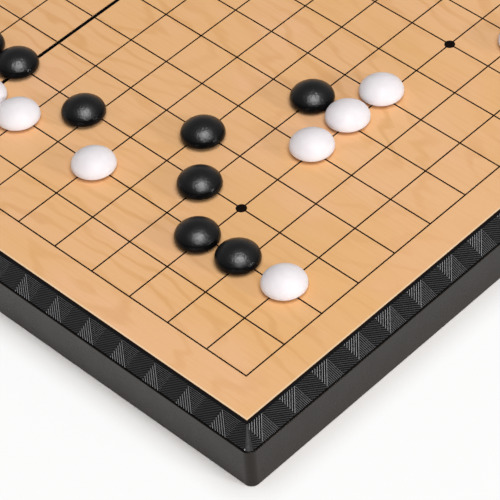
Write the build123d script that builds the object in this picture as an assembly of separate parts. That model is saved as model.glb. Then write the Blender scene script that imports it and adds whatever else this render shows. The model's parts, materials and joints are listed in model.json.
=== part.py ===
from build123d import *
from math import atan2, degrees
import os

os.makedirs("parts", exist_ok=True)

# A folding magnetic board for the game of go, open and flat, in millimetres.
# The origin lies on the seam between the halves, at the level it stands on.
# X runs along the seam, Y across it and Z up. The front half has Y below zero.
# Front pieces are drawn first, and rear ones are the same turned half round Z.

# Play surface
line_count = 19
grid_pitch = 14.3
line_width = 0.43
dot_diameter = 3.15
dot_steps = 6
ink_thickness = 0.04
seam_to_line = 15.5
rear_print_shift = 0.4
side_margin = 11.0
end_margin = 10.8
sheet_thickness = 0.5
sheet_proud = 0.1
steel_thickness = 0.5

# Overall heights, from the table up
play_height = 20.7
wall_top = 13.35
groove_height = 0.4
plate_thickness = 2.4

# Outline of the case outside the panel
rim_flat = 0.7
slope_run = 2.7
wall_step = 0.4
rim_corner = 0.4
band_corner = 1.8
wall_corner = 2.5
foot_rounding = 0.3
top_rounding = 0.25

# Walls and the gap at the seam
wall_thickness = 1.8
groove_depth = 0.9
seam_gap = 0.6
seam_rim = 0.35
fit = 0.1
loose_fit = 0.3
tongue_depth = 2.0
tongue_thickness = 0.9
cavity_inset = 3.1
overcut = 1.0
rooting = 0.5

# Bars inside the frame and the ledge that the tray flange pulls against
seam_bar_width = 7.35
seam_bar_height = 7.5
end_bar_width = 4.8
ledge_height = 2.6
ledge_thickness = 1.2
ledge_width = 1.3

# Storage trays and their lids
tray_wall = 1.2
tray_floor = 1.2
flange_thickness = 1.2
lid_thickness = 1.0
lip_height = 2.0
lip_thickness = 1.0
lip_fit = 0.15
tray_corner = 2.5
scoop_width = 26.0
scoop_length = 9.0
scoop_depth = 0.5

# Screws that hold a tray and its frame up against the cover
screw_shank = 1.8
screw_bite = 1.8
screw_head = 3.6
screw_head_height = 1.2
screw_slot = 0.5
screw_slot_depth = 0.6
screw_side_inset = 21.7
screw_end_inset = 21.5
screw_seam_inset = 20.5

# Folding hinge: three links, each on one pin in either half
pin_from_seam = 3.2
hinge_pin = 2.0
pin_running_fit = 0.08
pin_seat_fit = 0.02
link_width = 12.0
link_end_radius = 2.5
pin_seat_length = 4.0
link_spacing = 95.0

# Swing latch in the middle of the front wall
latch_width = 30.0
latch_length = 7.8
latch_thickness = 1.8
latch_pivot_height = 2.6
latch_pin = 1.6
latch_pin_seat = 2.5
latch_inset = 0.1
window_width = 10.0
window_height = 2.0
lug_reach = 6.0
lug_play = 0.3
lug_depth = 1.0
pad_margin = 5.0
finger_radius = 5.0
finger_depth = 1.0

# Stones
stone_diameter = 12.8
stone_height = 5.8
stone_waist_height = 1.6
stone_foot_diameter = 8.6
stone_shoulder = 2.5
magnet_diameter = 7.0
magnet_thickness = 2.0
magnet_fit = 0.05

# Stones in play: steps from the front line, then from the left line
black_places = (
    (7.14, 2.85), (4.91, 3.92), (3.99, 2.89), (3.05, 1.87),
    (2.08, 1.96), (3.97, 6.03), (9.16, 2.95), (10.09, 2.88),
)
white_places = (
    (5.93, 1.95), (8.06, 1.94), (3.05, 5.03), (3.07, 6.07),
    (3.06, 7.04), (0.97, 2.04), (1.92, 9.90), (8.98, 1.90),
)

# Sizes that follow
half_lines = (line_count - 1) // 2
grid_half = half_lines * grid_pitch
end_line = seam_to_line + (half_lines - 1) * grid_pitch
panel_x = grid_half + side_margin
panel_y = end_line + end_margin
rim_x = panel_x + rim_flat
rim_y = panel_y + rim_flat
band_x = rim_x + slope_run
band_y = rim_y + slope_run
wall_x = band_x + wall_step
wall_y = band_y + wall_step
seam_y = seam_gap / 2
sheet_edge = seam_y + seam_rim
rim_top = play_height - sheet_proud
steel_top = play_height - sheet_thickness
plate_top = steel_top - steel_thickness
plate_bottom = plate_top - plate_thickness
band_bottom = wall_top + groove_height
inner_x = wall_x - wall_thickness
inner_y = wall_y - wall_thickness
cavity_x = wall_x - cavity_inset
cavity_y = wall_y - cavity_inset
web_y = seam_y + wall_thickness
pin_height = pin_from_seam - seam_y
link_places = (-link_spacing, 0, link_spacing)
outside = wall_x + wall_y

# Opening in the frame, which the tray and lid fill
open_x = inner_x
open_far = wall_y - end_bar_width
open_near = seam_y + seam_bar_width
flange_bottom = ledge_height - flange_thickness
lid_bottom = flange_bottom - lid_thickness
tray_out = ledge_width + loose_fit
tray_top = plate_bottom
tray_ceiling = tray_top - tray_floor
screw_x = open_x - screw_side_inset
screw_rows = (screw_end_inset - open_far, -open_near - screw_seam_inset)

# Latch places
pivot_y = -(wall_y - latch_inset - latch_thickness / 2)
pocket_back = pivot_y + latch_thickness / 2 + loose_fit
pocket_width = latch_width + 2 * loose_fit
front_pocket_top = latch_pivot_height + latch_length + loose_fit
rear_pocket_top = latch_length + loose_fit - latch_pivot_height
front_lug = latch_pivot_height + lug_reach
rear_lug = lug_reach - latch_pivot_height - seam_gap


def block(x0, x1, y0, y1, z0, z1):
    """A box from its lowest to its highest corner."""
    middle = Pos((x0 + x1) / 2, (y0 + y1) / 2, (z0 + z1) / 2)
    return middle * Box(x1 - x0, y1 - y0, z1 - z0)


def rounded(half_x, half_y, corner, z0, z1):
    """A block centred on the origin with rounded upright corners."""
    outline = RectangleRounded(2 * half_x, 2 * half_y, corner)
    return Pos(0, 0, z0) * extrude(outline, z1 - z0)


def room(grow, corner, z0, z1):
    """The shape of the opening in the frame, grown or shrunk evenly."""
    width = 2 * (open_x + grow)
    depth = open_far - open_near + 2 * grow
    outline = RectangleRounded(width, depth, corner)
    return Pos(0, -(open_far + open_near) / 2, z0) * extrude(outline, z1 - z0)


def front_only(shape):
    """Keep what lies before the seam."""
    return shape - block(-outside, outside, -seam_y, outside, -outside, outside)


def bar_along_x(radius, x0, x1, y, z):
    """A round bar that runs along X."""
    return Pos((x0 + x1) / 2, y, z) * Rot(0, 90, 0) * Cylinder(radius, x1 - x0)


def upright(radius, x, y, z0, z1):
    """A round bar that stands upright."""
    return Pos(x, y, (z0 + z1) / 2) * Cylinder(radius, z1 - z0)


def screw_places():
    """The screws of one tray, in three columns of two."""
    return [(x, y) for x in (-screw_x, 0, screw_x) for y in screw_rows]


def cover():
    """Top shell: the plate under the sheets and the sloping band round it."""
    top = Pos(0, 0, rim_top) * RectangleRounded(2 * rim_x, 2 * rim_y, rim_corner)
    low = Pos(0, 0, band_bottom) * RectangleRounded(2 * band_x, 2 * band_y, band_corner)
    shell = loft([low, top], ruled=True)
    tongue_x = inner_x - fit
    tongue_y = inner_y - fit
    tongue = rounded(tongue_x, tongue_y, wall_corner - wall_thickness, band_bottom - tongue_depth, band_bottom)
    shell += tongue
    shell -= rounded(
        tongue_x - tongue_thickness, tongue_y - tongue_thickness,
        rim_corner, band_bottom - tongue_depth - overcut, band_bottom,
    )
    shell = front_only(shell)
    shell -= block(-cavity_x, cavity_x, -cavity_y, -web_y, band_bottom - overcut, plate_bottom)
    shell -= block(-inner_x, inner_x, -web_y, 0, 0, band_bottom)
    pad = latch_width / 2 + pad_margin + loose_fit
    shell -= block(-pad, pad, -wall_y, -cavity_y, 0, band_bottom)
    shell -= block(
        -panel_x - fit, panel_x + fit, -panel_y - fit, -sheet_edge + fit,
        plate_top, play_height + overcut,
    )
    for x, y in screw_places():
        hole = screw_shank / 2 + pin_seat_fit
        shell -= upright(hole, x, y, plate_bottom - overcut, plate_bottom + screw_bite)
    return shell


def latch_pocket(top):
    """The room that a latch plate turns in, open below and in front."""
    half = pocket_width / 2
    return block(-half, half, -wall_y - overcut, pocket_back, -overcut, top)


def latch_lug(height):
    """The bar that the window in the latch plate drops over."""
    half = window_width / 2 - lug_play
    rise = window_height / 2 - lug_play
    return block(-half, half, pocket_back - lug_depth, pocket_back + rooting, height - rise, height + rise)


def frame(is_front):
    """Lower shell: the smooth walls, the hinge bar and the latch pocket."""
    body = rounded(wall_x, wall_y, wall_corner, 0, wall_top)
    body = fillet(body.edges().group_by(Axis.Z)[0], foot_rounding)
    body = fillet(body.edges().group_by(Axis.Z)[-1], top_rounding)
    body += rounded(
        wall_x - groove_depth, wall_y - groove_depth, wall_corner - groove_depth,
        wall_top - rooting, band_bottom,
    )
    body -= rounded(inner_x, inner_y, wall_corner - wall_thickness, -overcut, band_bottom + overcut)
    body = front_only(body)
    ledge_top = ledge_height + ledge_thickness
    base = rounded(inner_x + fit, inner_y + fit, wall_corner - wall_thickness, 0, ledge_top)
    base = front_only(base) - room(0, rim_corner, -overcut, ledge_height)
    base -= room(-ledge_width, rim_corner, 0, ledge_top + overcut)
    body += base
    body += block(-inner_x - fit, inner_x + fit, -open_near, -seam_y, 0, seam_bar_height)
    body += block(-inner_x - fit, inner_x + fit, -web_y, -seam_y, 0, band_bottom)

    # The lower seam edge is round about the hinge pin, so the halves can roll
    corner = block(-wall_x, wall_x, -pin_from_seam, 0, -overcut, pin_height)
    corner -= bar_along_x(pin_height, -outside, outside, -pin_from_seam, pin_height)
    body -= corner

    # Slots for the hinge links, with seats for their pins
    reach = link_end_radius + loose_fit
    slot_half = link_width / 2 + loose_fit
    for x in link_places:
        body -= block(x - slot_half, x + slot_half, -pin_from_seam - reach, 0, -overcut, pin_height + reach)
        body -= bar_along_x(
            hinge_pin / 2 + pin_seat_fit,
            x - slot_half - pin_seat_length, x + slot_half + pin_seat_length,
            -pin_from_seam, pin_height,
        )

    # The latch pocket and the pad behind it
    pad = latch_width / 2 + pad_margin
    body += block(-pad, pad, -inner_y - fit, -open_far, 0, wall_top)
    body -= latch_pocket(front_pocket_top if is_front else rear_pocket_top)
    if is_front:
        body -= Pos(0, -wall_y, front_pocket_top) * Rot(90, 0, 0) * Cylinder(finger_radius, 2 * finger_depth)
        seat = pocket_width / 2 + latch_pin_seat
        body -= bar_along_x(latch_pin / 2 + pin_seat_fit, -seat, seat, pivot_y, latch_pivot_height)
    return body + latch_lug(front_lug if is_front else rear_lug)


def steel_sheet():
    """The steel that the magnets hold to, under the printed sheet."""
    return block(-panel_x, panel_x, -panel_y, -sheet_edge, plate_top, steel_top)


def play_sheet():
    """The printed sheet that shows the wood grain."""
    return block(-panel_x, panel_x, -panel_y, -sheet_edge, steel_top, play_height)


def grid_print(first_line):
    """The lines and dots of ink on one half, as one thin layer."""
    top = play_height + ink_thickness
    half = line_width / 2
    far = first_line + (half_lines - 1) * grid_pitch
    marks = []
    for i in range(line_count):
        x = -grid_half + i * grid_pitch
        marks.append(block(x - half, x + half, -far - half, -sheet_edge, play_height, top))
    for k in range(half_lines):
        y = -first_line - k * grid_pitch
        marks.append(block(-grid_half - half, grid_half + half, y - half, y + half, play_height, top))
    dot_row = -first_line - (dot_steps - 1) * grid_pitch
    past_edge = block(-wall_x, wall_x, -sheet_edge, wall_y, 0, play_height + overcut)
    for x in (-dot_steps * grid_pitch, 0, dot_steps * grid_pitch):
        marks.append(upright(dot_diameter / 2, x, dot_row, play_height, top))
        marks.append(upright(dot_diameter / 2, x, 0, play_height, top) - past_edge)
    return marks[0] + marks[1:]


def tray():
    """The storage tray, which opens downwards and is screwed to the cover."""
    body = room(-tray_out, tray_corner, flange_bottom, tray_top)
    body += room(-loose_fit, tray_corner, flange_bottom, ledge_height)
    body -= room(-tray_out - tray_wall, tray_corner - tray_wall, flange_bottom - overcut, tray_ceiling)
    for x, y in screw_places():
        body -= upright(screw_shank / 2 + fit, x, y, tray_ceiling - overcut, tray_top + overcut)
    return body


def tray_lid():
    """The snap lid under a tray, with a lip inside it and a thumb scoop."""
    lip_out = tray_out + tray_wall + lip_fit
    body = room(-loose_fit, tray_corner, lid_bottom, flange_bottom)
    lip = room(-lip_out, tray_corner - tray_wall, flange_bottom, flange_bottom + lip_height)
    lip -= room(
        -lip_out - lip_thickness, rim_corner,
        flange_bottom - overcut, flange_bottom + lip_height + overcut,
    )
    body += lip
    scoop_y = -open_far + scoop_length
    scoop = RectangleRounded(scoop_width, scoop_length, scoop_length / 2 - fit)
    body -= Pos(0, scoop_y, lid_bottom) * extrude(scoop, scoop_depth)
    return body


def screws():
    """Pan-head screws with a cross slot."""
    under = tray_ceiling
    tip = plate_bottom + screw_bite
    bottom = under - screw_head_height
    group = []
    for x, y in screw_places():
        one = upright(screw_shank / 2, x, y, under, tip)
        one += upright(screw_head / 2, x, y, bottom, under)
        arm = screw_head / 2 - screw_slot
        for a, b in ((arm, screw_slot / 2), (screw_slot / 2, arm)):
            one -= block(x - a, x + a, y - b, y + b, bottom - overcut, bottom + screw_slot_depth)
        group.append(one)
    return group


def hinge_pins():
    """The steel pins of the hinge in one half."""
    half = link_width / 2 + loose_fit + pin_seat_length - fit
    return [bar_along_x(hinge_pin / 2, x - half, x + half, -pin_from_seam, pin_height) for x in link_places]


def hinge_links():
    """The links that join the halves, each with two bores."""
    group = []
    for x in link_places:
        x0 = x - link_width / 2
        x1 = x + link_width / 2
        low = pin_height - link_end_radius
        high = pin_height + link_end_radius
        one = block(x0, x1, -pin_from_seam, pin_from_seam, low, high)
        for y in (-pin_from_seam, pin_from_seam):
            one += bar_along_x(link_end_radius, x0, x1, y, pin_height)
            one -= bar_along_x(hinge_pin / 2 + pin_running_fit, x0 - overcut, x1 + overcut, y, pin_height)
        group.append(one)
    return group


def latch_plate():
    """The plate that swings down and holds the closed case."""
    half = latch_width / 2
    thick = latch_thickness / 2
    top = latch_pivot_height + latch_length
    plate = block(-half, half, pivot_y - thick, pivot_y + thick, latch_pivot_height, top)
    plate = fillet(plate.edges().filter_by(Axis.X).group_by(Axis.Z)[-1], thick / 2)
    plate += bar_along_x(thick, -half, half, pivot_y, latch_pivot_height)
    w = window_width / 2
    low = front_lug - window_height / 2
    plate -= block(-w, w, pivot_y - 2 * thick, pivot_y + 2 * thick, low, low + window_height)
    plate -= bar_along_x(latch_pin / 2 + pin_running_fit, -latch_width, latch_width, pivot_y, latch_pivot_height)
    return plate


def latch_pivot():
    """The pin that the latch plate turns on."""
    half = pocket_width / 2 + latch_pin_seat - fit
    return bar_along_x(latch_pin / 2, -half, half, pivot_y, latch_pivot_height)


def stone_cap():
    """A stone of one colour: domed above, cut in below, bored for a magnet."""
    wide = stone_diameter / 2
    foot = stone_foot_diameter / 2
    dome = stone_height - stone_waist_height
    inset = wide - stone_shoulder
    crown = (inset**2 + dome**2 - stone_shoulder**2) / (2 * (dome - stone_shoulder))
    meeting = degrees(atan2(crown - dome, inset))
    with BuildPart() as cap:
        with BuildSketch(Plane.XZ):
            with BuildLine():
                Line((0, 0), (foot, 0))
                Line((foot, 0), (wide, stone_waist_height))
                CenterArc((inset, stone_waist_height), stone_shoulder, 0, meeting)
                CenterArc((0, stone_height - crown), crown, meeting, 90 - meeting)
                Line((0, stone_height), (0, 0))
            make_face()
        revolve(axis=Axis.Z)
    seat = magnet_diameter / 2 + magnet_fit
    return cap.part - upright(seat, 0, 0, -overcut, magnet_thickness + magnet_fit)


def stone_magnet():
    """The disc magnet in the foot of a stone."""
    return upright(magnet_diameter / 2, 0, 0, 0, magnet_thickness)


def board_place(line_u, line_v):
    """Where a stone lies, in steps off the first line each way."""
    return (-grid_half + line_v * grid_pitch, -end_line + line_u * grid_pitch)


def write(name, shape, turned=False):
    """Write one node, turned half round when it belongs to the rear half."""
    solids = shape if isinstance(shape, list) else [shape]
    solids = [s for one in solids for s in one.solids()]
    if turned:
        solids = [Rot(0, 0, 180) * one for one in solids]
    whole = solids[0] if len(solids) == 1 else Compound(children=solids)
    export_step(whole, "parts/" + name + ".step")


# The two halves
for half in ("front", "rear"):
    turned = half == "rear"
    first_line = seam_to_line + (rear_print_shift if turned else 0)
    write(half + "_cover", cover(), turned)
    write(half + "_frame", frame(not turned), turned)
    write(half + "_steel_sheet", steel_sheet(), turned)
    write(half + "_play_sheet", play_sheet(), turned)
    write(half + "_grid_print", grid_print(first_line), turned)
    write(half + "_storage_tray", tray(), turned)
    write(half + "_tray_lid", tray_lid(), turned)
    write(half + "_tray_screws", screws(), turned)
    write(half + "_hinge_pins", hinge_pins(), turned)

# Hinge and latch
write("hinge_links", hinge_links())
write("latch_plate", latch_plate())
write("latch_pivot_pin", latch_pivot())

# Stones in play, each with its magnet
cap = stone_cap()
magnet = stone_magnet()
stone_base = play_height + ink_thickness
for colour, places in (("black", black_places), ("white", white_places)):
    for number, (line_u, line_v) in enumerate(places, 1):
        x, y = board_place(line_u, line_v)
        spot = Pos(x, y, stone_base)
        write(colour + "_stone_" + str(number), spot * cap)
        write(colour + "_stone_" + str(number) + "_magnet", spot * magnet)
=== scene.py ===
# %% [markdown]
# # A folding magnetic go board
#
# The object is a flat case in two halves, lying open. Its outside is the playing
# surface: a printed sheet over steel, in a black plastic shell with a ribbed band
# round the edge. Trays in the underside keep the stones. The construction comes
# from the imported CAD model, which is loaded first and never moved. This file adds
# the finishes, the smooth stones, the ribs of the band and the stones in the trays.

import json
import math
import random

import bmesh
import bpy
from mathutils import Matrix, Quaternion, Vector

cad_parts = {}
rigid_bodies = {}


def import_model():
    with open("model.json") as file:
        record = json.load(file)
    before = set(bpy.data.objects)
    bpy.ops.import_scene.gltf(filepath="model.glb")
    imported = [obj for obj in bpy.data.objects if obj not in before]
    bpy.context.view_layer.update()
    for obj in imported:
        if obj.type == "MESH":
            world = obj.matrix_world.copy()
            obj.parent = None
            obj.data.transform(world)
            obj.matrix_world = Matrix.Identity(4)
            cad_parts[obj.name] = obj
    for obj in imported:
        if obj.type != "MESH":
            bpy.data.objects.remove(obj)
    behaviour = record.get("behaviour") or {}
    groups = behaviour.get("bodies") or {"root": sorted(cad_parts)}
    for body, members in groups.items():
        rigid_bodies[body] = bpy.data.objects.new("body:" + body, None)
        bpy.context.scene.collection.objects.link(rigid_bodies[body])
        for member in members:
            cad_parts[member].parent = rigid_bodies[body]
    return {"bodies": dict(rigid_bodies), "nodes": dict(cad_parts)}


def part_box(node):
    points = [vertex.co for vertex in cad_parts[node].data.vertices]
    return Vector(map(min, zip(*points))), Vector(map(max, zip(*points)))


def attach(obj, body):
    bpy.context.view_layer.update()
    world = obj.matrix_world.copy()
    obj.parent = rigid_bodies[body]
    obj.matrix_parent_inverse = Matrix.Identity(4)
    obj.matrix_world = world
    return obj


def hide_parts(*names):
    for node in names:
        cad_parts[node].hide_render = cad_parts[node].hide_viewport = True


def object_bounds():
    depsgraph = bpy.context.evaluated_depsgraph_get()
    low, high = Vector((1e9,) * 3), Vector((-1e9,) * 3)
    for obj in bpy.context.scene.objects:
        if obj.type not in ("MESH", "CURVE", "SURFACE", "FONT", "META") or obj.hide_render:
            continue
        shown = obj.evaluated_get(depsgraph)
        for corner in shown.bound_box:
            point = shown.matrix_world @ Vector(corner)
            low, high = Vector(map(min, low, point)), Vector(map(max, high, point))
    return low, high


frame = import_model()
cad_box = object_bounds()
MM = 0.001
HALVES = ("front", "rear")
print("size in mm:", [round(side / MM, 1) for side in cad_box[1] - cad_box[0]])

# %% [markdown]
# ## Measures read from the model
#
# Everything added here sits on the CAD pieces, so its places are read from their
# boxes. The panel's edge, the rim and the foot of the sloping band are all found
# this way, and a change in the model moves the finishes along with it.

# %% Read the main levels and edges
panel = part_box("front_play_sheet")
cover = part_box("front_cover")
play_top = panel[1].z
panel_x = panel[1].x
panel_y = -panel[0].y
foot_x = cover[1].x
foot_y = -cover[0].y
foot_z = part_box("front_frame")[1].z
rim_z = cover[1].z
LEVEL = 0.01 * MM
cover_corners = [vertex.co for vertex in frame["nodes"]["front_cover"].data.vertices]
top_corners = [corner for corner in cover_corners if corner.z > rim_z - LEVEL]
rim_x = max(corner.x for corner in top_corners)
rim_y = -min(corner.y for corner in top_corners)
measured = {"panel x": panel_x, "panel y": panel_y, "rim x": rim_x, "rim y": rim_y}
print({name: round(value / MM, 2) for name, value in measured.items()})

# %% [markdown]
# ## Camera
#
# The picture looks down on the near corner with a long lens. The printed grid is
# a ready-made ruler: its crossings gave the lens, the point aimed at, the heading,
# the height and the small roll of the camera.

# %% Set the camera
# Places and distances are in metres, angles in degrees, the lens and its sensor in mm
AIM = Vector((-95.62 * MM, -99.61 * MM, play_top))
CAMERA_DISTANCE = 0.7966
CAMERA_HEADING = 47.34
CAMERA_HEIGHT = 46.0
CAMERA_ROLL = -5.06
LENS = 214.6
SENSOR = 36
NEAREST = 0.01


def heading(azimuth, elevation):
    """The direction that points from the object at this compass angle and height."""
    a = math.radians(azimuth)
    e = math.radians(elevation)
    return Vector((math.cos(a) * math.cos(e), math.sin(a) * math.cos(e), math.sin(e)))


camera = bpy.data.objects.new("camera", bpy.data.cameras.new("camera"))
bpy.context.scene.collection.objects.link(camera)
back = heading(CAMERA_HEADING + 180, CAMERA_HEIGHT)
camera.location = AIM + back * CAMERA_DISTANCE
camera.rotation_mode = "QUATERNION"
roll = Quaternion((0, 0, 1), math.radians(CAMERA_ROLL))
camera.rotation_quaternion = (-back).to_track_quat("-Z", "Y") @ roll
camera.data.lens = LENS
camera.data.sensor_width = SENSOR
camera.data.clip_start = NEAREST
bpy.context.scene.camera = camera
print("camera at", [round(c, 4) for c in camera.location])

# %% [markdown]
# ## Colours, nodes and finishes
#
# Paint charts and photographs give colours as sRGB hex codes, and a shader wants
# linear light, so one function turns the first into the second. Another adds a
# shader node with its settings and links in one line. A third starts a finish: one
# Principled shader, and the place on the piece in millimetres, so that the size of
# every pattern is a real size.

# %% Colour and node helpers


def paint(hex_code):
    """An sRGB hex colour as linear values."""
    channels = [int(hex_code[i:i + 2], 16) / 255 for i in (1, 3, 5)]
    linear = [c / 12.92 if c <= 0.04045 else ((c + 0.055) / 1.055) ** 2.4 for c in channels]
    return (*linear, 1.0)


def add(tree, kind, inputs=None, **settings):
    """Add a node. The inputs are values, or the output sockets to link from."""
    node = tree.nodes.new(kind)
    for name, value in settings.items():
        setattr(node, name, value)
    for key, value in (inputs or {}).items():
        if isinstance(value, bpy.types.NodeSocket):
            tree.links.new(value, node.inputs[key])
        else:
            node.inputs[key].default_value = value
    return node


def begin_finish(name, colour, roughness, metallic=0.0):
    """A new material, its tree, its shader and the place on the piece in mm."""
    material = bpy.data.materials.new(name)
    material.use_nodes = True
    tree = material.node_tree
    shader = tree.nodes["Principled BSDF"]
    shader.inputs["Base Color"].default_value = paint(colour)
    shader.inputs["Roughness"].default_value = roughness
    shader.inputs["Metallic"].default_value = metallic
    spot = add(tree, "ShaderNodeTexCoord").outputs["Object"]
    place = add(tree, "ShaderNodeVectorMath", {0: spot, "Scale": 1 / MM}, operation="SCALE").outputs[0]
    return material, tree, shader, place


def speckle(tree, place, size, stretch=(1, 1, 1), detail=2.0):
    """Soft noise whose grains measure about size mm, drawn out along an axis by stretch.

    It could reach from 0 to 1, but most of its values lie between 0.3 and 0.7.
    """
    scale = [1 / (size * pull) for pull in stretch]
    grain = add(tree, "ShaderNodeMapping", {"Vector": place, "Scale": scale}).outputs[0]
    noise = add(tree, "ShaderNodeTexNoise", {"Vector": grain, "Scale": 1.0, "Detail": detail})
    return noise.outputs[0]


def between(tree, value, low, high, low_result=0.0, high_result=1.0):
    """Stretch the part of a value from low to high over the two results, and hold it outside."""
    ranged = {
        "Value": value, "From Min": low, "From Max": high,
        "To Min": low_result, "To Max": high_result,
    }
    return add(tree, "ShaderNodeMapRange", ranged).outputs[0]


def worked_out(tree, first, second, operation="ADD"):
    """The result of one arithmetic step on two values or sockets."""
    return add(tree, "ShaderNodeMath", {0: first, 1: second}, operation=operation).outputs[0]


def blend_colours(tree, share, first, second):
    """Mix two colours, hex codes or sockets, by a share from 0 to 1."""
    chosen = [paint(c) if isinstance(c, str) else c for c in (first, second)]
    mix = add(tree, "ShaderNodeMix", {0: share, 6: chosen[0], 7: chosen[1]}, data_type="RGBA")
    return mix.outputs[2]


def raise_surface(tree, shader, height, depth):
    """Give the shader a bump of this depth in mm."""
    bump = add(tree, "ShaderNodeBump", {"Strength": 1.0, "Distance": depth * MM, "Height": height})
    tree.links.new(bump.outputs[0], shader.inputs["Normal"])


def dress(node, material):
    """Give a CAD node its finish."""
    slots = frame["nodes"][node].data.materials
    slots.clear()
    slots.append(material)


print("helpers ready")

# %% [markdown]
# ## The printed wood grain
#
# The playing surface is a plastic sheet printed with pale flat-sawn wood. Flat-sawn
# boards cut through the tree's rings at a low slope, which draws nested arches up
# the middle of each board and fine straight lines at its sides. A painted picture
# could do it, but the arches are only rings cut by a slope: the distance from a long
# axis that dips under the surface, wobbled by noise. They come and go in patches,
# and finer fibres run between them. Object coordinates carry the pattern over the
# seam, so both halves show one run of boards. A satin laminate lies over the print
# and gives it a soft even sheen.

# %% Sizes of the wood, in mm
# BOARD_MIDDLE is where one board's middle line runs, and BOARD_SHIFT are the limits of
# the lot that slides each board along, so that no two show the same arches
BOARD_WIDTH = 84.0
BOARD_MIDDLE = -133.7
BOARD_SHIFT = (-30, 150)
RING_SPACING = 5.2
RING_DIP = 0.30
WOBBLE = 3.2
WOBBLE_SIZE = 9.0
PATCH_SIZE = 26.0
FIBRE_WIDTH = 0.9
FIBRE_STRETCH = 30
TONE_SIZE = 34.0
BLUSH_SIZE = 15.0
LAMINATE_GRAIN = 0.5
LAMINATE_DEPTH = 0.006
OUTLINE = 0.25
OUTLINE_FADE = 0.1
PALE_EDGE = 0.35
PALE_FADE = 0.3
print("a board shows", round(BOARD_WIDTH / 2 / RING_SPACING, 1), "rings on each side of its middle")

# %% Draw the rings of the boards


def ring_lines(tree, place, axes):
    """How much of a dark ring line there is at each place, from 0 to 1."""
    off_board = worked_out(tree, axes["X"], BOARD_MIDDLE, "SUBTRACT")
    across = worked_out(tree, off_board, BOARD_WIDTH / 2, "PINGPONG")
    shifted = worked_out(tree, off_board, BOARD_WIDTH / 2)
    board = worked_out(tree, shifted, BOARD_WIDTH, "DIVIDE")
    number = add(tree, "ShaderNodeMath", {0: board}, operation="FLOOR").outputs[0]
    lottery = add(tree, "ShaderNodeTexWhiteNoise", {"W": number}, noise_dimensions="1D").outputs["Value"]
    along = worked_out(tree, axes["Y"], between(tree, lottery, 0, 1, *BOARD_SHIFT))
    dip = worked_out(tree, along, RING_DIP, "MULTIPLY")
    flat = add(tree, "ShaderNodeCombineXYZ", {"X": across, "Y": dip}).outputs[0]
    radius = add(tree, "ShaderNodeVectorMath", {0: flat}, operation="LENGTH").outputs["Value"]
    wobble = between(tree, speckle(tree, place, WOBBLE_SIZE, (1, 3, 1)), 0.25, 0.75, -WOBBLE, WOBBLE)
    turns = worked_out(tree, worked_out(tree, radius, wobble), 2 * math.pi / RING_SPACING, "MULTIPLY")
    wave = add(tree, "ShaderNodeMath", {0: turns}, operation="SINE").outputs[0]
    patches = between(tree, speckle(tree, place, PATCH_SIZE, (1, 2, 1)), 0.35, 0.65)
    return worked_out(tree, between(tree, wave, 0.35, 1.0), patches, "MULTIPLY")


print("rings dip", RING_DIP, "mm per mm along a board")

# %% Make the wood print


def from_edge(tree, reach, axis):
    """How many mm a place lies inside the edge that is this far out along an axis."""
    out = add(tree, "ShaderNodeMath", {0: axis}, operation="ABSOLUTE").outputs[0]
    return worked_out(tree, reach / MM, out, "SUBTRACT")


def wood_print():
    """Pale flat-sawn wood in print: a warm tone, faint arches, fine fibres and a dark edge line, partly
    cut edge and partly painted shadow of the rim.
    """
    material, tree, shader, place = begin_finish("printed_pale_wood_laminate", "#e6b681", 0.40)
    shader.inputs["Specular IOR Level"].default_value = 0.35
    axes = add(tree, "ShaderNodeSeparateXYZ", {0: place}).outputs
    rings = worked_out(tree, ring_lines(tree, place, axes), 0.45, "MULTIPLY")
    fibre = speckle(tree, place, FIBRE_WIDTH, (1, FIBRE_STRETCH, 1), 4.0)
    tone = between(tree, speckle(tree, place, TONE_SIZE, (1, 2.4, 1), 3.0), 0.36, 0.62)
    blush = speckle(tree, place, BLUSH_SIZE, (1, 1.6, 1))
    colour = blend_colours(tree, tone, "#e8b47b", "#ebb886")
    colour = blend_colours(tree, between(tree, blush, 0.50, 0.72, 0.0, 0.6), colour, "#edb98e")
    colour = blend_colours(tree, rings, colour, "#d49a5c")
    colour = blend_colours(tree, between(tree, fibre, 0.50, 0.75, 0.0, 0.28), colour, "#d9a163")

    # The sheet's edge: a dark line outside a pale one. The dark line is partly the cut edge and partly
    # painted shadow of the band's rim
    from_sides = from_edge(tree, panel_x, axes["X"])
    inside = worked_out(tree, from_sides, from_edge(tree, panel_y, axes["Y"]), "MINIMUM")
    pale_from = OUTLINE + PALE_EDGE
    pale = between(tree, inside, pale_from, pale_from + PALE_FADE, 0.65, 0.0)
    colour = blend_colours(tree, pale, colour, "#f6dcb8")
    dark = between(tree, inside, OUTLINE, OUTLINE + OUTLINE_FADE, 1.0, 0.0)
    colour = blend_colours(tree, dark, colour, "#2a170d")
    tree.links.new(colour, shader.inputs["Base Color"])
    raise_surface(tree, shader, speckle(tree, place, LAMINATE_GRAIN), LAMINATE_DEPTH)
    return material


wood = wood_print()
for half in HALVES:
    dress(half + "_play_sheet", wood)
print(wood.name, "has", len(wood.node_tree.nodes), "nodes")

# %% [markdown]
# ## The printed lines
#
# The grid and its dots are a thin layer of dark brown ink. Ink lies a little unevenly,
# so its tone varies along a line. The layer itself is a CAD piece, and only needs a
# finish.

# %% Make the ink
INK_PATCH = 1.2


def grid_ink():
    """Dark brown ink, a little uneven and nearly without gloss."""
    material, tree, shader, place = begin_finish("printed_brown_black_ink", "#0f0704", 0.45)
    shader.inputs["Specular IOR Level"].default_value = 0.12
    uneven = between(tree, speckle(tree, place, INK_PATCH), 0.35, 0.7)
    colour = blend_colours(tree, uneven, "#0b0503", "#170b06")
    tree.links.new(colour, shader.inputs["Base Color"])
    return material


ink = grid_ink()
for half in HALVES:
    dress(half + "_grid_print", ink)
print("ink on", len(HALVES), "halves")

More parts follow.
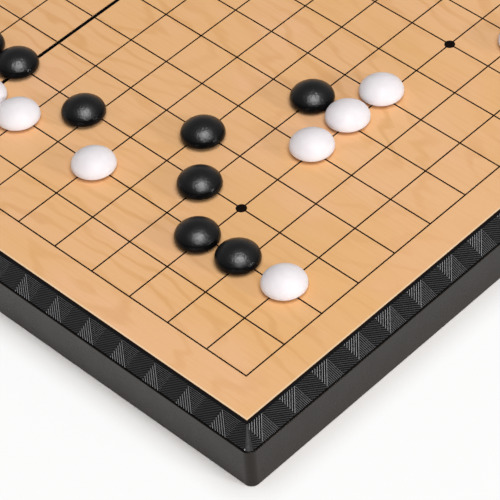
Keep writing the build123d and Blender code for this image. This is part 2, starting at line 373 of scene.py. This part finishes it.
# %% [markdown]
# ## Moulded plastic
#
# The case is moulded in black ABS. A tool that was spark eroded leaves a fine even
# grain, and a polished tool leaves a satin surface. Both are one recipe: a dark body,
# a roughness that wanders a little where hands have been, and a bump as coarse as the
# grain. Only the numbers change from piece to piece. The walls reflect a little warm.

# %% Make the plastics
HANDLED_PATCH = 22.0
GLOSS_PATCH = 9.0
POLISHED_BY = 0.05
DULLED_BY = 0.07


def moulded(name, colour, worn, roughness, grain, depth, gleam=0.5):
    """Moulded plastic with a grain of so many mm, a bump depth in mm and a slightly worn tone."""
    material, tree, shader, place = begin_finish(name, colour, roughness)
    shader.inputs["Specular IOR Level"].default_value = gleam
    handled = between(tree, speckle(tree, place, HANDLED_PATCH, detail=4.0), 0.35, 0.7)
    tree.links.new(blend_colours(tree, handled, colour, worn), shader.inputs["Base Color"])
    patch = speckle(tree, place, GLOSS_PATCH, detail=5.0)
    gloss = between(tree, patch, 0.3, 0.7, roughness - POLISHED_BY, roughness + DULLED_BY)
    tree.links.new(gloss, shader.inputs["Roughness"])
    raise_surface(tree, shader, speckle(tree, place, grain, detail=3.0), depth)
    return material


band_plastic = moulded(
    "spark_eroded_black_abs", "#0b0b0d", "#0f0f12", roughness=0.45, grain=0.30, depth=0.010, gleam=0.2,
)
wall_plastic = moulded(
    "satin_black_abs", "#13100e", "#171412", roughness=0.26, grain=0.25, depth=0.006, gleam=0.28,
)
wall_plastic.node_tree.nodes["Principled BSDF"].inputs["Specular Tint"].default_value = paint("#fff1e4")
tray_plastic = moulded(
    "satin_black_polystyrene", "#1b1b1d", "#242427", roughness=0.48, grain=0.40, depth=0.010,
)
lid_plastic = moulded(
    "leather_grained_black_abs", "#19191b", "#212124", roughness=0.52, grain=1.10, depth=0.060,
)
link_plastic = moulded(
    "black_acetal", "#151516", "#1d1d1f", roughness=0.38, grain=0.35, depth=0.006,
)
for half in HALVES:
    dress(half + "_cover", band_plastic)
    dress(half + "_frame", wall_plastic)
    dress(half + "_storage_tray", tray_plastic)
    dress(half + "_tray_lid", lid_plastic)
dress("hinge_links", link_plastic)
dress("latch_plate", wall_plastic)
print("plastics:", band_plastic.name, wall_plastic.name, tray_plastic.name, lid_plastic.name)

# %% [markdown]
# ## Metals
#
# Under the print lies a rolled steel sheet. Pins are ground steel, screws are zinc
# plated and magnets are nickel plated. A metal is told apart by its colour, its
# roughness and the direction of its marks: rolling and grinding draw long lines.

# %% Make the metals
STAIN_PATCH = 6.0
MARK_DEPTH = 0.004
SHINY_BY = 0.08
DULL_BY = 0.12


def metal(name, colour, stain, roughness, mark, stretch):
    """Metal with marks of so many mm, drawn out by stretch, and a faint stain."""
    material, tree, shader, place = begin_finish(name, colour, roughness, metallic=1.0)
    cloudy = between(tree, speckle(tree, place, STAIN_PATCH), 0.4, 0.75)
    tree.links.new(blend_colours(tree, cloudy, colour, stain), shader.inputs["Base Color"])
    marks = speckle(tree, place, mark, stretch, 4.0)
    gloss = between(tree, marks, 0.3, 0.7, roughness - SHINY_BY, roughness + DULL_BY)
    tree.links.new(gloss, shader.inputs["Roughness"])
    raise_surface(tree, shader, marks, MARK_DEPTH)
    return material


rolled_steel = metal("rolled_mild_steel", "#a9aaab", "#97989a", 0.38, mark=0.25, stretch=(40, 1, 1))
ground_steel = metal("ground_steel_pin", "#b4b5b6", "#a3a4a6", 0.25, mark=0.15, stretch=(1, 20, 20))
zinc = metal("zinc_plated_steel", "#b9bcc0", "#a7a99d", 0.30, mark=0.30, stretch=(1, 1, 1))
nickel = metal("nickel_plated_magnet", "#c4c1ba", "#b2afa7", 0.22, mark=0.30, stretch=(1, 1, 1))
for half in HALVES:
    dress(half + "_steel_sheet", rolled_steel)
    dress(half + "_hinge_pins", ground_steel)
    dress(half + "_tray_screws", zinc)
dress("latch_pivot_pin", ground_steel)
magnets = [name for name in frame["nodes"] if name.endswith("_magnet")]
for name in magnets:
    dress(name, nickel)
print("magnets:", len(magnets))

# %% [markdown]
# ## The stones in play
#
# A stone is a low dome that meets a tight shoulder, and below its waist it is cut
# in to a narrower foot, which leaves a dark line round it. Anything round about an
# axis is best made as a lathe would: draw half of its section once and spin it. The
# CAD stones give the places and the sizes, and these smooth ones take their place.

# %% Draw and spin a stone
WAIST_HEIGHT = 1.6 * MM
FOOT_RADIUS = 4.3 * MM
SHOULDER = 2.5 * MM
SEAT_RADIUS = 3.55 * MM
SEAT_DEPTH = 2.05 * MM
SHOULDER_STEPS = 12
CROWN_STEPS = 14
STONE_SIDES = 72
SPIN_MERGE = 0.002 * MM

stone_low, stone_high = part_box("black_stone_1")
stone_radius = (stone_high.x - stone_low.x) / 2
stone_height = stone_high.z - stone_low.z


def arc(centre, radius, start, end, steps):
    """Points along an arc, with its angles in radians."""
    angles = [start + (end - start) * i / steps for i in range(steps + 1)]
    return [(centre[0] + radius * math.cos(a), centre[1] + radius * math.sin(a)) for a in angles]


def stone_section(shoulder_steps, crown_steps):
    """Half of a stone's section from the foot to the top."""
    dome = stone_height - WAIST_HEIGHT
    inset = stone_radius - SHOULDER
    crown = (inset ** 2 + dome ** 2 - SHOULDER ** 2) / (2 * (dome - SHOULDER))
    meeting = math.atan2(crown - dome, inset)
    shoulder = arc((inset, WAIST_HEIGHT), SHOULDER, 0, meeting, shoulder_steps)
    top = arc((0, stone_height - crown), crown, meeting, math.pi / 2, crown_steps)
    return [(FOOT_RADIUS, 0)] + shoulder + top[1:]


def spin_mesh(section, sides):
    """A closed round mesh from half of its section."""
    shape = bmesh.new()
    points = [shape.verts.new((across, 0, up)) for across, up in section]
    edges = [shape.edges.new(pair) for pair in zip(points, points[1:])]
    bmesh.ops.spin(
        shape, geom=points + edges, cent=(0, 0, 0), axis=(0, 0, 1), angle=2 * math.pi,
        steps=sides, use_merge=True,
    )
    bmesh.ops.remove_doubles(shape, verts=shape.verts, dist=SPIN_MERGE)
    bmesh.ops.recalc_face_normals(shape, faces=shape.faces)
    return shape


def add_piece(name, shape, material, body, smooth_below):
    """Make a bmesh a piece that rides on a body. Faces that meet below the angle shade as one."""
    mesh = bpy.data.meshes.new(name)
    shape.to_mesh(mesh)
    shape.free()
    mesh.materials.append(material)
    piece = bpy.data.objects.new(name, mesh)
    bpy.context.scene.collection.objects.link(piece)
    mesh.shade_smooth()
    mesh.set_sharp_from_angle(angle=math.radians(smooth_below))
    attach(piece, body)
    return piece


# The magnet's seat is a bore that is open at the foot
bore = [(0, SEAT_DEPTH), (SEAT_RADIUS, SEAT_DEPTH), (SEAT_RADIUS, 0)]
stone_shape = spin_mesh(bore + stone_section(SHOULDER_STEPS, CROWN_STEPS), STONE_SIDES)
stone_mesh = bpy.data.meshes.new("stone_template")
stone_shape.to_mesh(stone_mesh)
stone_shape.free()
print("stone:", len(stone_mesh.vertices), "vertices")

# %% [markdown]
# ## Finish of the stones
#
# Both colours are moulded plastic. The black ones come from a blasted tool, whose fine
# grain breaks the highlight into specks, so a bump does more for them than the colour.
# Real grain of that kind is about 0.2 mm, too fine to show here, so it is drawn three
# times as coarse. Fingers polish the shoulders, which glint, and the dome is duller.
# The shoulders' reflections are also painted darker than the dome's, a painted shade
# that keeps the stones black round their highlights.
# The white ones are smoother, and light goes a little way into them, which softens
# their shading.

# %% Make the stone plastics
BLASTED_GRAIN = 0.62
BLASTED_DEPTH = 0.090
WHITE_PATCH = 3.0
WHITE_GRAIN = 0.6
WHITE_DEPTH = 0.004
LIGHT_REACH = 0.6 * MM


def black_stone_plastic():
    """Black, with a grainy highlight on the dome, a thin glint along the shoulder, and shoulder
    reflections painted darker.
    """
    material, tree, shader, place = begin_finish("blasted_black_melamine", "#0a0a0b", 0.36)
    shader.inputs["Specular IOR Level"].default_value = 0.85
    grain = speckle(tree, place, BLASTED_GRAIN, detail=2.0)
    raise_surface(tree, shader, grain, BLASTED_DEPTH)
    facing = add(tree, "ShaderNodeTexCoord").outputs["Normal"]
    upward = add(tree, "ShaderNodeSeparateXYZ", {0: facing}).outputs["Z"]
    tree.links.new(between(tree, upward, 0.55, 0.80, 0.20, 0.33), shader.inputs["Roughness"])
    # Painted shade on the reflections: the specular tint darkens from the dome to the shoulder
    domed = between(tree, upward, 0.62, 0.88)
    tree.links.new(blend_colours(tree, domed, "#4c4c4c", "#ffffff"), shader.inputs["Specular Tint"])
    tree.links.new(blend_colours(tree, grain, "#080809", "#0d0d0e"), shader.inputs["Base Color"])
    return material


def white_stone_plastic():
    """White satin whose shading is softened by the light that enters it."""
    material, tree, shader, place = begin_finish("satin_white_melamine", "#ebe5e7", 0.38)
    tone = between(tree, speckle(tree, place, WHITE_PATCH), 0.35, 0.7)
    tree.links.new(blend_colours(tree, tone, "#e9e3e6", "#ede8ea"), shader.inputs["Base Color"])
    raise_surface(tree, shader, speckle(tree, place, WHITE_GRAIN), WHITE_DEPTH)
    shader.inputs["Specular IOR Level"].default_value = 0.22
    shader.inputs["Subsurface Weight"].default_value = 0.25
    shader.inputs["Subsurface Scale"].default_value = LIGHT_REACH
    shader.inputs["Subsurface Radius"].default_value = (1.0, 0.9, 0.9)
    return material


stone_finish = {"black": black_stone_plastic(), "white": white_stone_plastic()}
print("stone finishes:", [material.name for material in stone_finish.values()])

# %% Set the stones on the board
STONE_EDGE = 50
shown_stones = [name for name in frame["nodes"] if "_stone_" in name and not name.endswith("_magnet")]
for name in sorted(shown_stones):
    low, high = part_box(name)
    shape = bmesh.new()
    shape.from_mesh(stone_mesh)
    place = Vector(((low.x + high.x) / 2, (low.y + high.y) / 2, low.z))
    bmesh.ops.translate(shape, verts=shape.verts, vec=place)
    colour = name.split("_")[0]
    finish = stone_finish[colour]
    piece = add_piece(name + "_domed", shape, finish, name, STONE_EDGE)
    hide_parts(name)
print("stones in play:", len(shown_stones))

# %% [markdown]
# ## The stones in store
#
# A full set has 181 black and 180 white stones. Those not in play lie in the trays,
# on the lids, black in front and white behind. There are hundreds, so each is the
# same section spun with few sides, copied to its place in one mesh. A small seeded
# shake keeps the rows from looking machined.

# %% Fill the trays
FULL_SET = {"black": 181, "white": 180}
STORE_COLUMNS = 20
STORE_ROWS = 9
STORE_PITCH = 13.4 * MM
SHAKE = 0.2 * MM
LID_PLATE = 1.0 * MM
STORED_STEPS = 2
STORED_SIDES = 10
STORED_EDGE = 60


def stored_stones(half, colour):
    """The stones of one colour that are not in play, in rows on the lid of one half."""
    in_play = sum(name.startswith(colour) for name in shown_stones)
    count = FULL_SET[colour] - in_play
    low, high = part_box(half + "_tray_lid")
    middle_y = (low.y + high.y) / 2
    floor_z = low.z + LID_PLATE
    template = spin_mesh([(0, 0)] + stone_section(STORED_STEPS, STORED_STEPS), STORED_SIDES)
    stone = bpy.data.meshes.new("stored_template")
    template.to_mesh(stone)
    template.free()
    heap = bmesh.new()
    shake = random.Random(half)
    for number in range(count):
        row, column = divmod(number, STORE_COLUMNS)
        x = (column - (STORE_COLUMNS - 1) / 2) * STORE_PITCH + shake.uniform(-SHAKE, SHAKE)
        y = middle_y + (row - (STORE_ROWS - 1) / 2) * STORE_PITCH + shake.uniform(-SHAKE, SHAKE)
        heap.from_mesh(stone)
        heap.verts.ensure_lookup_table()
        added = heap.verts[-len(stone.vertices):]
        bmesh.ops.translate(heap, verts=added, vec=(x, y, floor_z))
    print(half, "tray:", count, colour, "stones")
    name = half + "_stored_" + colour + "_stones"
    add_piece(name, heap, stone_finish[colour], half + "_tray_lid", STORED_EDGE)


for half, colour in zip(HALVES, FULL_SET):
    stored_stones(half, colour)

# %% [markdown]
# ## The ribbed band
#
# The sloping band round the board is covered with triangles, and the ribs of each
# triangle run their own way, so that each catches the light differently. They are
# real relief, a fifth of a millimetre high at most. One triangle of each kind is cut
# from a flat face by parallel planes, and the cuts are lifted to a rounded profile.
# Real ribs glint as thin lines where their crests catch the light. Here those glints are
# painted: each cut notes how near it is to a crest and how bright a glint its kind gets,
# and the finish paints the crests paler by that note.

# %% Cut one ribbed triangle
# RIB_PROFILE is one rib's section from valley to valley, as shares of its height, and the
# row below it is how much painted glint lies there. Below 0 is plain plastic, which
# narrows the painted pale line.
CELL = 6.1 * MM
TOP_MARGIN = 0.02 * MM
FOOT_MARGIN = 0.10 * MM
RIM_OF_CELL = 0.06 * MM
SUNK = 0.15 * MM
PROUD = 0.02 * MM
RIB_PROFILE = (0, 0.75, 1, 0.75)
PAINTED_GLINT = (0, -0.6, 1, -0.6)
CUTS_PER_RIB = len(RIB_PROFILE)
CUT_TOLERANCE = 0.001 * MM
slope = Vector((foot_y - rim_y, rim_z - foot_z))
slope_length = slope.length
strip_height = slope_length - TOP_MARGIN - FOOT_MARGIN
SIDE_ANGLE = math.degrees(math.atan2(strip_height, CELL / 2))


def ribbed_triangle(upright, angle, pitch, height, painted_glint_share):
    """A strip triangle: ribs at an angle, a pitch apart, a height high, crests with a painted glint this
    bright.
    """
    half = CELL / 2
    if upright:
        corners = ((0, 0), (CELL, 0), (half, strip_height))
    else:
        corners = ((0, 0), (half, strip_height), (-half, strip_height))
    cell = bmesh.new()
    painted_crest_glint = cell.verts.layers.float.new("painted_crest_glint")
    outline = [cell.verts.new((s, h, 0)) for s, h in corners]
    face = cell.faces.new(outline)
    bmesh.ops.inset_region(
        cell, faces=[face], thickness=RIM_OF_CELL, use_boundary=True, use_even_offset=True,
    )
    turned = math.radians(angle)
    normal = Vector((-math.sin(turned), math.cos(turned), 0))
    reach = [normal.dot(v.co) for v in cell.verts]
    count = math.ceil((max(reach) - min(reach)) / pitch)
    start = (max(reach) + min(reach)) / 2 - count * pitch / 2
    for step in range(1, CUTS_PER_RIB * count):
        spot = normal * (start + step * pitch / CUTS_PER_RIB)
        everything = cell.verts[:] + cell.edges[:] + cell.faces[:]
        bmesh.ops.bisect_plane(cell, geom=everything, dist=CUT_TOLERANCE, plane_co=spot, plane_no=normal)
    rim = {v for edge in cell.edges if edge.is_boundary for v in edge.verts}
    for vertex in cell.verts:
        step = round((normal.dot(vertex.co) - start) * CUTS_PER_RIB / pitch)
        if vertex not in rim:
            vertex.co.z = height * RIB_PROFILE[step % CUTS_PER_RIB]
            # Painted glint: how pale this crest is painted
            vertex[painted_crest_glint] = painted_glint_share * PAINTED_GLINT[step % CUTS_PER_RIB]
    mesh = bpy.data.meshes.new("ribbed_triangle")
    cell.to_mesh(mesh)
    cell.free()
    return mesh


print("a triangle is", round(CELL / MM, 2), "mm wide and", round(strip_height / MM, 2), "mm high")

# %% Cut every kind of triangle
# Each row is one kind: upright or not, the ribs' angle, their pitch and height in mm,
# and how bright a glint is painted on their crests, brightest on the kind whose ribs catch most light
FRONT_KINDS = (
    (False, SIDE_ANGLE, 0.82, 0.20, 1.0),
    (True, -SIDE_ANGLE, 0.52, 0.12, 0.45),
    (False, -30, 0.58, 0.13, 0.15),
    (True, -30, 0.58, 0.13, 0.18),
)
SIDE_KINDS = (
    (True, -SIDE_ANGLE, 0.82, 0.20, 1.0),
    (False, 0, 0.56, 0.13, 0.45),
    (True, 38, 0.60, 0.13, 0.12),
    (False, 38, 0.60, 0.13, 0.12),
)


def cut_kind(upright, angle, pitch, height, painted_glint_share):
    """The triangle for one row of a table of kinds."""
    return ribbed_triangle(upright, angle, pitch * MM, height * MM, painted_glint_share)


front_cells = [cut_kind(*kind) for kind in FRONT_KINDS]
side_cells = [cut_kind(*kind) for kind in SIDE_KINDS]
print("faces per triangle:", [len(mesh.polygons) for mesh in front_cells + side_cells])

# %% [markdown]
# ## Strips and corners
#
# The four kinds of triangle are laid side by side until a side is full. The strip is
# then trimmed to the lines of the corners, closed below and stood on the slope. The
# corners themselves are plain: a quarter turn at the foot and one at the rim, bridged
# and given some thickness.

# %% Lay the triangles in a strip
REPEAT = 2 * CELL
STRIP_MERGE = 0.003 * MM
front_offsets = (0, 0, CELL, CELL)
side_offsets = (-CELL / 2, CELL / 2, CELL / 2, CELL * 3 / 2)


def strip(cells, offsets, first, start, end):
    """Cells side by side, trimmed at both ends and closed below. An end is its foot and its top."""
    band = bmesh.new()
    step = math.floor((start[0] - first) / REPEAT) - 1
    while first + step * REPEAT < end[0] + REPEAT:
        for mesh, offset in zip(cells, offsets):
            band.from_mesh(mesh)
            band.verts.ensure_lookup_table()
            added = band.verts[-len(mesh.vertices):]
            bmesh.ops.translate(band, verts=added, vec=(first + step * REPEAT + offset, FOOT_MARGIN, 0))
        step += 1
    bmesh.ops.remove_doubles(band, verts=band.verts, dist=STRIP_MERGE)
    for (foot, top), direction in ((start, -1), (end, 1)):
        everything = band.verts[:] + band.edges[:] + band.faces[:]
        outward = Vector((slope_length, foot - top, 0)) * direction
        bmesh.ops.bisect_plane(
            band, geom=everything, dist=CUT_TOLERANCE, plane_co=(foot, 0, 0),
            plane_no=outward, clear_outer=True,
        )
    outline = [edge for edge in band.edges if edge.is_boundary]
    skirt = bmesh.ops.extrude_edge_only(band, edges=outline)["geom"]
    lowered = [item for item in skirt if isinstance(item, bmesh.types.BMVert)]
    for vertex in lowered:
        vertex.co.z = -SUNK
    bottom = [item for item in skirt if isinstance(item, bmesh.types.BMEdge)]
    bottom = [edge for edge in bottom if edge.is_boundary]
    bmesh.ops.contextual_create(band, geom=bottom)
    bmesh.ops.recalc_face_normals(band, faces=band.faces)
    return band


print("a strip repeats every", REPEAT / MM, "mm")

# %% Stand a strip on its slope and round a corner
RIM_CORNER = 0.4 * MM
BAND_CORNER = 1.8 * MM
CORNER_STEPS = 12


def stand_on_slope(along, inward, foot):
    """The matrix that puts a strip on the slope of one side."""
    run = foot_y - rim_y
    rise = rim_z - foot_z
    up = (inward * run + Vector((0, 0, rise))).normalized()
    out = along.cross(up)
    turn = Matrix((along, up, out)).transposed().to_4x4()
    return Matrix.Translation(-inward * foot + Vector((0, 0, foot_z)) + out * PROUD) @ turn


def corner_arc(shell, side, reach_x, reach_y, height, radius):
    """A quarter turn of vertices round a corner whose two sides lie at these reaches."""
    centre = Vector((side * (reach_x - radius), radius - reach_y, height))
    first = shell.verts.new(centre + Vector((0, -radius - PROUD, 0)))
    bmesh.ops.spin(
        shell, geom=[first], cent=centre, axis=(0, 0, 1), angle=side * math.pi / 2, steps=CORNER_STEPS,
    )


def smooth_corner(side):
    """The plain corner between two strips, as a thin closed shell."""
    shell = bmesh.new()
    corner_arc(shell, side, foot_x, foot_y, foot_z, BAND_CORNER)
    corner_arc(shell, side, rim_x, rim_y, rim_z, RIM_CORNER)
    bmesh.ops.bridge_loops(shell, edges=shell.edges)
    grown = bmesh.ops.extrude_face_region(shell, geom=shell.faces[:])["geom"]
    moved = [item for item in grown if isinstance(item, bmesh.types.BMVert)]
    bmesh.ops.translate(shell, verts=moved, vec=(-side * SUNK, SUNK, 0))
    bmesh.ops.recalc_face_normals(shell, faces=shell.faces)
    return shell


print("corners of", BAND_CORNER / MM, "mm at the foot and", RIM_CORNER / MM, "mm at the rim")

# %% Join the sides of a half
OVER_CORNER = 0.3 * MM
FRONT_APEX = -138.0 * MM
SIDE_APEX = 133.1 * MM
SEAM_EDGE = 0.7 * MM
RIB_EDGE = 45


def sides_of_half():
    """Each side's triangles, where they start and end, its two directions and its foot."""
    right, ahead = Vector((1, 0, 0)), Vector((0, 1, 0))
    end_inset = Vector((BAND_CORNER - OVER_CORNER, RIM_CORNER))
    long_end = Vector((foot_x, rim_x)) - end_inset
    short_end = Vector((foot_y, rim_y)) - end_inset
    seam_end = Vector((SEAM_EDGE, SEAM_EDGE))
    front = (front_cells, front_offsets, FRONT_APEX)
    side = (side_cells, side_offsets, SIDE_APEX)
    return (
        (*front, -long_end, long_end, right, ahead, foot_y),
        (*side, seam_end, short_end, -ahead, right, foot_x),
        (*side, -short_end, -seam_end, ahead, -right, foot_x),
    )


def band_for(half):
    """The ribs of one half, on the long side and the two short ones, and its two corners."""
    turn = Matrix.Rotation(math.pi if half == "rear" else 0, 4, "Z")
    ribs = bmesh.new()
    for cells, offsets, first, start, end, along, inward, foot in sides_of_half():
        band = strip(cells, offsets, first, start, end)
        bmesh.ops.transform(band, matrix=turn @ stand_on_slope(along, inward, foot), verts=band.verts)
        mesh = bpy.data.meshes.new("strip")
        band.to_mesh(mesh)
        band.free()
        ribs.from_mesh(mesh)
    print(half, "ribs:", len(ribs.faces), "faces")
    add_piece(half + "_band_ribs", ribs, rib_plastic, half + "_half", RIB_EDGE)
    for side, hand in ((-1, "left"), (1, "right")):
        shell = smooth_corner(side)
        bmesh.ops.transform(shell, matrix=turn, verts=shell.verts)
        name = half + "_band_" + hand + "_corner"
        add_piece(name, shell, painted_highlight_corner_plastic, half + "_half", RIB_EDGE)


print("a half has", len(sides_of_half()), "ribbed sides")

# %% Put the band on both halves


def ribs_with_painted_glints():
    """The black plastic of the ribs, with a painted glint: paler where the crests catch the light."""
    material = moulded(
        "black_abs_ribs_painted_glints", "#08080a", "#0c0c0e", roughness=0.36, grain=0.30, depth=0.002, gleam=0.14,
    )
    tree = material.node_tree
    shader = tree.nodes["Principled BSDF"]
    worn = shader.inputs["Base Color"].links[0].from_socket
    # The crests are painted paler, a painted highlight for the glints they catch
    painted_crest_glint = add(tree, "ShaderNodeAttribute", attribute_name="painted_crest_glint").outputs["Fac"]
    tree.links.new(blend_colours(tree, painted_crest_glint, worn, "#a8a8ab"), shader.inputs["Base Color"])
    return material


rib_plastic = ribs_with_painted_glints()
# The corner's colour is paler than the band's: a painted highlight for the light its bend catches, over a
# polished finish
painted_highlight_corner_plastic = moulded(
    "polished_black_abs_corner_painted_highlight", "#19191b", "#1e1e20", roughness=0.28, grain=0.30, depth=0.002,
)
for half in HALVES:
    band_for(half)

# %% [markdown]
# ## The table
#
# The picture is a product shot on white. Turning the lamps up until the table is white
# would bleach the board, so the table glows a little for the camera and for reflections
# alone. Beside a piece, which hides part of the sky from the table, it glows less and
# keeps its shadow. Ambient occlusion finds those places, whatever the pose.

# %% Lay the table
FLOOR_SIZE = 16.0
FLOOR_DROP = 0.05 * MM
floor_shape = bmesh.new()
bmesh.ops.create_grid(floor_shape, x_segments=1, y_segments=1, size=FLOOR_SIZE / 2)
bmesh.ops.translate(floor_shape, verts=floor_shape.verts, vec=(0, 0, -FLOOR_DROP))
floor_mesh = bpy.data.meshes.new("floor")
floor_shape.to_mesh(floor_mesh)
floor_shape.free()
floor = bpy.data.objects.new("floor", floor_mesh)
bpy.context.scene.collection.objects.link(floor)
print("floor", FLOOR_SIZE, "m wide")

# %% Whiten the table
TABLE_GLOW = 0.88
SHADE_REACH = 9 * MM
DEEP_SHADE = 0.58


def seen_by(tree, *ray_kinds):
    """1 for rays of these kinds and 0 for the others."""
    rays = add(tree, "ShaderNodeLightPath").outputs
    seen = rays[ray_kinds[0]]
    for kind in ray_kinds[1:]:
        seen = worked_out(tree, seen, rays[kind], "MAXIMUM")
    return seen


white_table, tree, shader, _ = begin_finish("matt_white_table", "#e7e4e1", 0.8)
openness = add(tree, "ShaderNodeAmbientOcclusion", {"Distance": SHADE_REACH}).outputs["AO"]
open_glow = between(tree, openness, DEEP_SHADE, 1.0, 0.0, TABLE_GLOW)
seen = seen_by(tree, "Is Camera Ray", "Is Glossy Ray", "Is Transmission Ray")
share = worked_out(tree, seen, open_glow, "MULTIPLY")
glow = add(tree, "ShaderNodeEmission", {"Color": paint("#ffffff"), "Strength": 1.0}).outputs[0]
whitened = add(tree, "ShaderNodeMixShader", {0: share, 1: shader.outputs[0], 2: glow}).outputs[0]
tree.links.new(whitened, tree.nodes["Material Output"].inputs["Surface"])
floor_mesh.materials.append(white_table)
print("the table glows", TABLE_GLOW, "beyond", SHADE_REACH / MM, "mm from a piece")

# %% [markdown]
# ## Room for the fold
#
# The halves fold downwards, the latch swings down and the lids come off downwards, all
# of them below the level that the open board stands on. A table that stayed put would
# hide them. So each of these bodies carries a marker at the point that sinks lowest,
# and a Floor constraint keeps the table under it. At rest the table is level with the
# case's underside.

# %% Let the table make way
FOLD_ROOM = 5 * MM
latch_low, latch_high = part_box("latch_plate")
lowest_points = {
    "front_half": (0, cad_box[0].y - FOLD_ROOM, 0),
    "latch": (0, latch_low.y, latch_high.z),
    "front_tray_lid": (0, -panel_y / 2, 0),
    "rear_tray_lid": (0, panel_y / 2, 0),
}
for body, point in lowest_points.items():
    marker = bpy.data.objects.new(body + "_lowest_point", None)
    bpy.context.scene.collection.objects.link(marker)
    marker.parent = frame["bodies"][body]
    marker.location = point
    keep_under = floor.constraints.new("FLOOR")
    keep_under.target = marker
    keep_under.floor_location = "FLOOR_NEGATIVE_Z"

# %% [markdown]
# ## Light
#
# One large soft light hangs overhead, a small bright one stands low on the right, and
# a wide low one on the left. Black plastic shows whatever it reflects, so the room
# fades from grey at the horizon to dark above, and the stones stay black between their
# highlights. Only the camera sees the room white.

# %% Paint the room
HORIZON = 0.28
ZENITH = 0.12
HORIZON_TOP = 0.16
CEILING = 0.62
world = bpy.data.worlds.new("pale_studio_walls")
world.use_nodes = True
bpy.context.scene.world = world
tree = world.node_tree
background = tree.nodes["Background"]
direction = add(tree, "ShaderNodeTexCoord").outputs["Generated"]
height = add(tree, "ShaderNodeSeparateXYZ", {0: direction}).outputs["Z"]
walls = between(tree, height, HORIZON_TOP, CEILING, HORIZON, ZENITH)
seen = seen_by(tree, "Is Camera Ray", "Is Transmission Ray")
tree.links.new(worked_out(tree, walls, seen, "MAXIMUM"), background.inputs["Strength"])
background.inputs["Color"].default_value = (1, 1, 1, 1)
print("the room goes from", HORIZON, "to", ZENITH)

# %% Hang the lights
# Each row is one light: its name, compass angle and height in degrees, distance, width
# and height in metres, and brightness, where white paper is 1
LIGHTS = (
    ("overhead_soft_light", -112, 70, 2.3, 1.51, 1.51, 6.6),
    ("right_low_light", -72, 20, 2.2, 0.293, 0.293, 50.0),
    ("left_low_light", 214, 8, 2.2, 1.79, 0.33, 4.3),
)


def soft_light(name, azimuth, elevation, distance, width, height, brightness):
    """A rectangle of soft light that looks at the point the camera aims at."""
    lamp = bpy.data.lights.new(name, "AREA")
    lamp.shape = "RECTANGLE"
    lamp.size = width
    lamp.size_y = height
    lamp.energy = brightness * math.pi * width * height
    light = bpy.data.objects.new(name, lamp)
    bpy.context.scene.collection.objects.link(light)
    light.location = AIM + heading(azimuth, elevation) * distance
    light.rotation_mode = "QUATERNION"
    light.rotation_quaternion = (AIM - light.location).to_track_quat("-Z", "Y")


for light in LIGHTS:
    soft_light(*light)
bpy.context.scene.view_settings.view_transform = "Standard"
print("lights:", [light[0] for light in LIGHTS])
